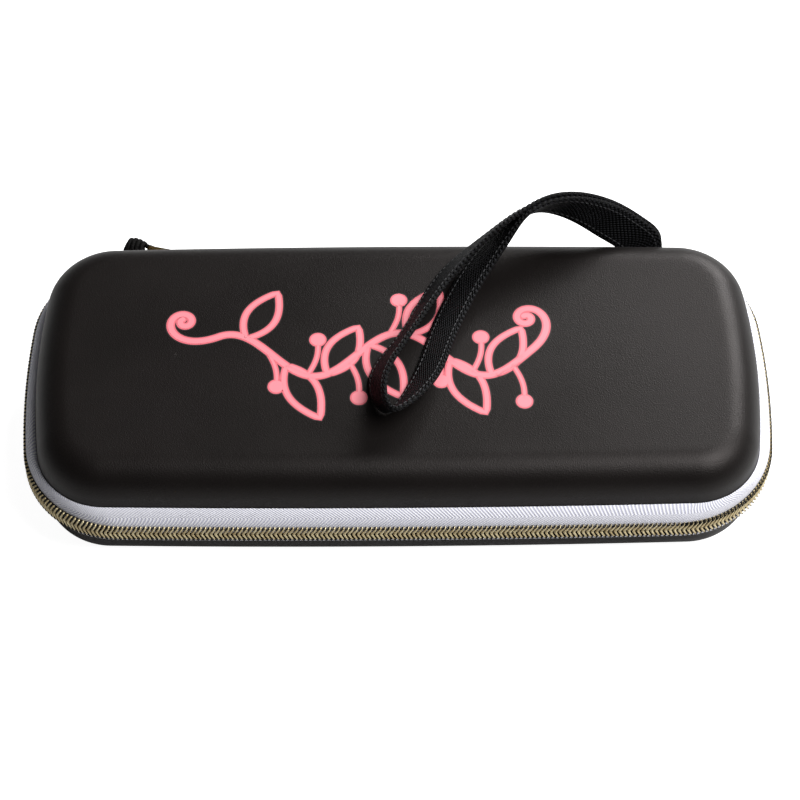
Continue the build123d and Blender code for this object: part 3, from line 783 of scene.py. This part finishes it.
for tilt in (32.0, -32.0):
    along = np.array((cos(radians(tilt)), sin(radians(tilt))))
    aside = np.array((-along[1], along[0]))
    for step in np.arange(-140.0, 140.0, thread_spacing):
        through = aside * step
        slope = inward @ along
        room = np.einsum("ij,ij->i", through - outline, inward)
        cuts = -room / np.where(np.abs(slope) < 1e-9, 1e-9, slope)
        enter = cuts[slope > 0].max()
        leave = cuts[slope < 0].min()
        if leave - enter < shortest_thread:
            continue
        first = len(points)
        for end in (enter, leave):
            middle = through + along * end
            for out, rise in ((-1, -1), (1, -1), (1, 1), (-1, 1)):
                corner = middle + aside * out * thread_half_width
                points.append((*corner, pocket_level + rise * thread_half_height))
        faces += [tuple(first + i for i in face) for face in barrel_faces(2, 4)]
net = make_piece("pocket_net", points, faces, net_nylon)
net.data.shade_flat()
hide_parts("mesh_pocket")
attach(net, "lid")
low_corner, high_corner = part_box("mesh_pocket")

elastic, tree, shader = new_finish("black ribbed elastic band")
cords = ribbed(tree, object_place(tree), 250.0, "Y")
colour = two_tones(tree, cords, "#0c0c0d", "#2c2b2c")
rib = raised(tree, cords, 0.7, 0.0003)
feed(tree, shader, {"Base Color": colour, "Roughness": 0.75, "Normal": rib})
low_corner, high_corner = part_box("pocket_band")
reach = high_corner[0] / MM - 0.3
band_start, band_end, band_low, band_high = -20.5, -10.5, 33.55, 34.95
rounding = [(band_start, 0.45), (band_start + 0.1, 0.15), (band_start + 0.4, 0.0)]
rounding += [(band_end - 0.4, 0.0), (band_end - 0.1, 0.15), (band_end, 0.45)]
section = [(y, band_low + off) for y, off in rounding] + [(y, band_high - off) for y, off in rounding[::-1]]
stations = np.linspace(-reach, reach, 121)
points = [np.c_[stations, np.full(len(stations), y), np.full(len(stations), z)] for y, z in section]
faces = bar_faces(len(points), len(stations), True)
band = make_piece("elastic_band", np.vstack(points), faces, elastic)
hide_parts("pocket_band")
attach(band, "lid")
for y in (-18.9, -12.1):
    line = [(x, y, 33.5) for x in stations[1:-1]]
    seam = repeat("stitches_band_%d" % abs(y), line, dash, 2.6, 0.0, black_thread_and_gap_shade)
    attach(seam, "lid")

# ---- Slider and pull ----------------------------------------------------------------------
# The slider rides on both coils and the pull is hinged on its bridge. They are die-cast zinc alloy,
# barrel polished and plated gold, and keep the shapes of their solids.
gold_metal, tree, shader = new_finish("gold plated zinc alloy")
worn = noise(tree, object_place(tree), 700.0, 4.0)
colour = two_tones(tree, worn, "#b08d4f", "#d9b97c")
feed(tree, shader, {"Base Color": colour, "Metallic": 1.0, "Roughness": 0.25})
for node in ("slider_body", "pull_tab"):
    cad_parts[node].data.materials.clear()
    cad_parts[node].data.materials.append(gold_metal)

# ---- Pull cord ----------------------------------------------------------------------------
# Black polyester cord 1.7 mm thick, looped through the pull's eye and tied in a barrel knot of four
# turns with its ends cut short inside.
cord_finish, tree, shader = new_finish("black braided polyester cord")
braid = add_node(tree, "ShaderNodeTexVoronoi", {"Vector": object_place(tree), "Scale": 1500.0})
braid = braid.outputs["Distance"]
colour, plaits = two_tones(tree, braid, "#0d0b0a", "#020202"), raised(tree, braid, 0.7, 0.0003)
feed(tree, shader, {"Base Color": colour, "Roughness": 0.75, "Specular IOR Level": 0.1, "Normal": plaits})
cord_thickness = 1.7
cord_root = np.array((-89.446, 64.092, zip_level))
cord_turn = radians(13.5)
cord_away = np.array((-cos(cord_turn), sin(cord_turn), 0.0))
cord_aside = np.array((-sin(cord_turn), -cos(cord_turn), 0.0))
cord_up = np.array((0.0, 0.0, 1.0))
path = [(7.6, 0.9, 0.3), (4.6, 1.6, 0.2), (1.4, 2.0, 0)]
path += [(2.03 * cos(angle), 2.03 * sin(angle), 0) for angle in np.linspace(pi / 2, 3 * pi / 2, 9)]
path += [(1.4, -2.1, 0)]
turns, per_turn = 4, 10
for k in range(turns * per_turn + 1):
    share = k / (turns * per_turn)
    angle = -pi / 2 + 2 * pi * k / per_turn
    radius = 2.75 + 0.75 * sin(pi * share)
    path.append((2.1 + 6.2 * share + 0.45 * cos(angle + 0.6), radius * sin(angle), radius * cos(angle)))
path += [(9.0, 1.2, -0.6), (8.6, 0.4, 0.5), (7.4, 0.0, 0.2)]
path = [cord_root + u * cord_away + v * cord_aside + w * cord_up for u, v, w in path]
curve = bpy.data.curves.new("braided_pull_cord", "CURVE")
curve.dimensions = "3D"
curve.bevel_depth = cord_thickness / 2 * MM
curve.bevel_resolution = 4
curve.use_fill_caps = True
spline = curve.splines.new("NURBS")
spline.points.add(len(path) - 1)
for point, place in zip(spline.points, path):
    point.co = (*(place * MM), 1.0)
spline.order_u = 3
spline.use_endpoint_u = True
curve.materials.append(cord_finish)
cord = put("braided_pull_cord", curve)
rings = []
for share in np.linspace(0, 1, 9):
    centre = cord_root + (2.4 + 5.6 * share) * cord_away
    size = 2.6 * sin(pi * (0.12 + 0.76 * share))
    for angle in np.linspace(0, 2 * pi, 13)[:-1]:
        rings.append(centre + size * (cord_aside * cos(angle) + cord_up * sin(angle)))
knot_heart = make_piece("knot_heart", rings, barrel_faces(9, 12), cord_finish)
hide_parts("pull_cord")
for piece in (cord, knot_heart):
    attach(piece, "cord")

# ---- Wrist strap --------------------------------------------------------------------------
# Black polyester webbing, 16 mm wide. Both ends are sewn into the lid's seam one on the other, and
# the free part opens into a loop that lies over the lid.
strap_width = 16.0
ply_thickness = 1.4
ply_gap = 0.3
strap_root = (79.5, 54.384, 34.6)
strap_doubled = (
    ((80.2, 54.6, 36.6), (14.0, 0.5)),
    ((77.5, 54.9, 39.6), (11.5, 1.0)),
    ((71.5, 55.7, 44.0), (11.0, 1.5)),
    ((64.0, 56.2, 50.6), (8.5, -1.0)),
    ((56.5, 56.9, 55.0), (6.0, -4.0)),
    ((50.0, 56.5, 57.3), (3.0, -7.0)),
    ((44.5, 54.0, 58.2), (1.5, -9.0)),
)
strap_loop = (
    ((31.5, 46.0, 56.0), (3.5, -8.0)),
    ((16.0, 34.0, 51.2), (5.0, -9.0)),
    ((-1.5, 3.5, 50.0), (4.0, -8.5)),
    ((-9.5, -17.5, 50.0), (5.0, -8.0)),
    ((-5.0, -24.8, 50.0), (3.0, -8.0)),
    ((2.0, -17.0, 50.0), (5.0, -9.5)),
    ((11.0, 8.0, 50.0), (7.0, -12.0)),
    ((22.0, 33.0, 50.5), (7.0, -11.5)),
    ((35.0, 47.5, 55.0), (5.0, -10.0)),
)


def edge_pair(station):
    """Lower and upper edge of the webbing at one station."""
    low = np.array(station[0])
    lean_x, lean_y = station[1]
    return low, low + (lean_x, lean_y, sqrt(strap_width**2 - lean_x**2 - lean_y**2))


def unit(vector):
    """Vector of length 1."""
    return vector / np.linalg.norm(vector)


def face_steps(pairs):
    """Unit vectors out of the webbing's face at each pair of edge points."""
    steps = []
    for i, (low, high) in enumerate(pairs):
        before, after = pairs[max(i - 1, 0)], pairs[min(i + 1, len(pairs) - 1)]
        along = unit(after[0] + after[1] - before[0] - before[1])
        steps.append(unit(np.cross(along, unit(high - low))))
    return steps


def smooth_line(stops, values, at):
    """Natural cubic through values at stops, read at other stops."""
    stops, values = np.array(stops), np.array(values)
    count = len(stops)
    gaps = np.diff(stops)
    bend = np.zeros((count, values.shape[1]))
    system = np.eye(count)
    for i in range(1, count - 1):
        system[i, i - 1 : i + 2] = gaps[i - 1] / 6, (gaps[i - 1] + gaps[i]) / 3, gaps[i] / 6
        bend[i] = (values[i + 1] - values[i]) / gaps[i] - (values[i] - values[i - 1]) / gaps[i - 1]
    bend = np.linalg.solve(system, bend)
    k = np.clip(np.searchsorted(stops, at) - 1, 0, count - 2)
    h = gaps[k][:, None]
    a = ((stops[k + 1] - at) / gaps[k])[:, None]
    b = 1 - a
    return a * values[k] + b * values[k + 1] + ((a**3 - a) * bend[k] + (b**3 - b) * bend[k + 1]) * h**2 / 6


root_pair = (np.array(strap_root), np.array(strap_root) + (strap_width, 0, 0))
doubled = [root_pair] + [edge_pair(s) for s in strap_doubled]
opened = [edge_pair(s) for s in strap_loop]
offset = (ply_thickness + ply_gap) / 2
out_steps = face_steps(doubled + opened[:1])[:-1]
home_steps = face_steps(doubled + opened[-1:])[:-1]
pairs = [(a + s * offset, b + s * offset) for (a, b), s in zip(doubled, out_steps)]
pairs += opened
pairs += [(a - s * offset, b - s * offset) for (a, b), s in zip(doubled, home_steps)][::-1]
middles = np.array([low + high for low, high in pairs]) / 2
reach = np.r_[0.0, np.cumsum(np.linalg.norm(np.diff(middles, axis=0), axis=1))]
strap_length = reach[-1]
at = np.linspace(0, strap_length, 420)
low_edge = smooth_line(reach, [a for a, b in pairs], at)
high_edge = smooth_line(reach, [b for a, b in pairs], at)
ahead = np.gradient((low_edge + high_edge) / 2, axis=0)
normals = np.cross(ahead, high_edge - low_edge)
normals /= np.linalg.norm(normals, axis=1)[:, None]

webbing, tree, shader = new_finish("black ribbed polyester webbing")
axes = add_node(tree, "ShaderNodeSeparateXYZ", {"Vector": cloth_run(tree)})
weft = maths(tree, "SINE", maths(tree, "MULTIPLY", axes.outputs["X"], 2 * pi / 0.0018))
warp = maths(tree, "SINE", maths(tree, "MULTIPLY", axes.outputs["Y"], 2 * pi / 0.0016))
pile = maths(tree, "MULTIPLY", weft, warp)
level = add_node(tree, "ShaderNodeMapRange", {"Value": pile}).outputs["Result"]
colour, ribs = two_tones(tree, level, "#020202", "#26262a"), raised(tree, pile, 0.9, 0.0004)
feed(tree, shader, {"Base Color": colour, "Roughness": 0.65, "Specular IOR Level": 0.12, "Normal": ribs})

# Half of the webbing's section, from edge to edge: share of the width, and plies out of its middle.
half_section = [(0.0, 0.0), (0.012, 0.32), (0.035, 0.5), (0.25, 0.5)]
half_section += [(0.5, 0.5), (0.75, 0.5), (0.965, 0.5), (0.988, 0.32)]
points, uv = [], []
for share, out in half_section + [(1 - share, -out) for share, out in half_section]:
    points.append(low_edge + (high_edge - low_edge) * share + normals * out * ply_thickness)
    uv.append(np.c_[at, np.full(len(at), share * strap_width)])
faces = bar_faces(len(points), len(at), True)
strap = make_piece("webbing_strap", np.vstack(points), faces, webbing, np.vstack(uv))
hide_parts("wrist_strap")
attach(strap, "strap")

# Two lines of grey stitches run 2.4 mm inside the webbing's edges and hold its woven selvedges.
grey_thread, tree, shader = new_finish("dark grey sewing thread")
feed(tree, shader, {"Base Color": paint("#2c2c2e"), "Roughness": 0.6})
strap_dash = tube([(-0.6, 0, 0), (-0.4, 0, 0.05), (0.4, 0, 0.05), (0.6, 0, 0)], 0.2, 5, "strap_stitch")
free_turns = repeat_tree("AUTO")
seam_share = 2.4 / strap_width
for label, share in (("low", seam_share), ("high", 1 - seam_share)):
    for face_name, out in (("front", 1), ("back", -1)):
        line = low_edge + (high_edge - low_edge) * share + normals * out * (ply_thickness / 2 + 0.02)
        seam_name = "strap_stitches_%s_%s" % (label, face_name)
        seam = repeat(seam_name, line[4:-4], strap_dash, 2.0, 0.0, grey_thread, free_turns)
        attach(seam, "strap")

# ---- Print on the lid ---------------------------------------------------------------------
# Pink screen print about 3 mm wide in line, with a thin dark edge: a winding stem with curled ends,
# leaves and berries. It is a plain made-up pattern.
pink_ink, tree, shader = new_finish("matte pink screen ink")
patches = noise(tree, object_place(tree), 260.0, 3.0)
feed(tree, shader, {"Base Color": two_tones(tree, patches, "#cf5f6a", "#d96d77"), "Roughness": 0.55})
light_ink, tree, shader = new_finish("lighter pink in the middle of a line")
feed(tree, shader, {"Base Color": paint("#e2838d"), "Roughness": 0.55})
dark_ink, tree, shader = new_finish("dark brown ink edge")
feed(tree, shader, {"Base Color": paint("#1c0f10"), "Roughness": 0.6})


def stroke(path, width, closed=False):
    """Points and faces of one flat printed line, with round ends."""
    path = np.array(path, float)
    if closed:
        ahead = np.roll(path, -1, axis=0) - np.roll(path, 1, axis=0)
    else:
        ahead = np.gradient(path, axis=0)
    ahead /= np.linalg.norm(ahead, axis=1)[:, None]
    aside = np.c_[-ahead[:, 1], ahead[:, 0]] * width / 2
    points = np.vstack([path + aside, path - aside])
    count = len(path)
    faces = []
    for i in range(count if closed else count - 1):
        after = (i + 1) % count
        faces.append((i, i + count, after + count, after))
    if not closed:
        for end, sign in ((0, -1), (count - 1, 1)):
            turn = np.linspace(0, pi, 9)
            cap = np.outer(np.cos(turn), aside[end]) + sign * np.outer(np.sin(turn), ahead[end]) * width / 2
            faces.append(tuple(range(len(points), len(points) + 9))[::-sign])
            points = np.vstack([points, path[end] + cap])
    return points, faces


def disc(middle, size):
    """Points and faces of one printed dot."""
    turn = np.linspace(0, 2 * pi, 25)[:-1]
    return np.array(middle) + size * np.c_[np.cos(turn), np.sin(turn)], [tuple(range(24))]


def leaf(root, heading, length, breadth):
    """Closed almond-shaped line from a point on the stem."""
    share = np.linspace(0, 1, 25)
    bulge = breadth / 2 * np.sin(pi * share) ** 0.8 * (1 - 0.25 * share)
    out = np.vstack([np.c_[share * length, bulge], np.c_[share * length, -bulge][::-1][1:-1]])
    ahead = np.array((cos(heading), sin(heading)))
    return root + out @ np.array((ahead, (-ahead[1], ahead[0])))


def stem_point(x):
    """Middle of the winding stem at x."""
    return np.array((x, -1.0 + 9.0 * sin((x + 72.0) * 2 * pi / 58.0)))


stem_x = np.linspace(-62.0, 46.0, 150)
stem = [stem_point(x) for x in stem_x]
curls = []
for end, sign in ((0, -1), (-1, 1)):
    spot = stem[end]
    drift = spot - stem[end - 1 if end else 1]
    heading = atan2(drift[1], drift[0])
    curl = []
    for k in range(60):
        heading += sign * (0.03 + 0.0042 * k)
        spot = spot + 0.95 * (1 - k / 95) * np.array((cos(heading), sin(heading)))
        curl.append(spot)
    curls.append(curl)
stem_line = curls[0][::-1] + stem + curls[1]
printed = [("line", stem_line, 3.0)]
for k in range(7):
    length, turn = (24.0, -62) if k % 2 else (22.0, 62)
    printed.append(("loop", leaf(stem_point(14.0 * k - 52.0), radians(turn), length, 12.0), 2.6))
for k in range(7):
    side = 1 if k % 2 else -1
    root = stem_point(14.0 * k - 45.0)
    tip = root + (3.5, side * 15.0)
    stalk = [root + (tip - root) * t + (1.4 * sin(pi * t), 0) for t in np.linspace(0, 1, 14)]
    printed.append(("line", stalk, 2.0))
    printed.append(("dot", tip, 3.0))
layers = [("print_dark_edge", dark_ink, 0.8, 0.03), ("print_pink", pink_ink, 0.0, 0.06)]
layers += [("print_light", light_ink, -1.1, 0.09)]
for name, finish, grow, lift in layers:
    points, faces = [], []
    for kind, path, width in printed:
        if kind == "dot":
            some, rounds = disc(path, width + grow / 2)
        else:
            some, rounds = stroke(path, width + grow, kind == "loop")
        faces += [tuple(i + len(points) for i in face) for face in rounds]
        points += [(x, y, 2 * zip_level + float(swell(x, y)) + lift) for x, y in some]
    art = make_piece(name, points, faces, finish)
    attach(art, "lid")
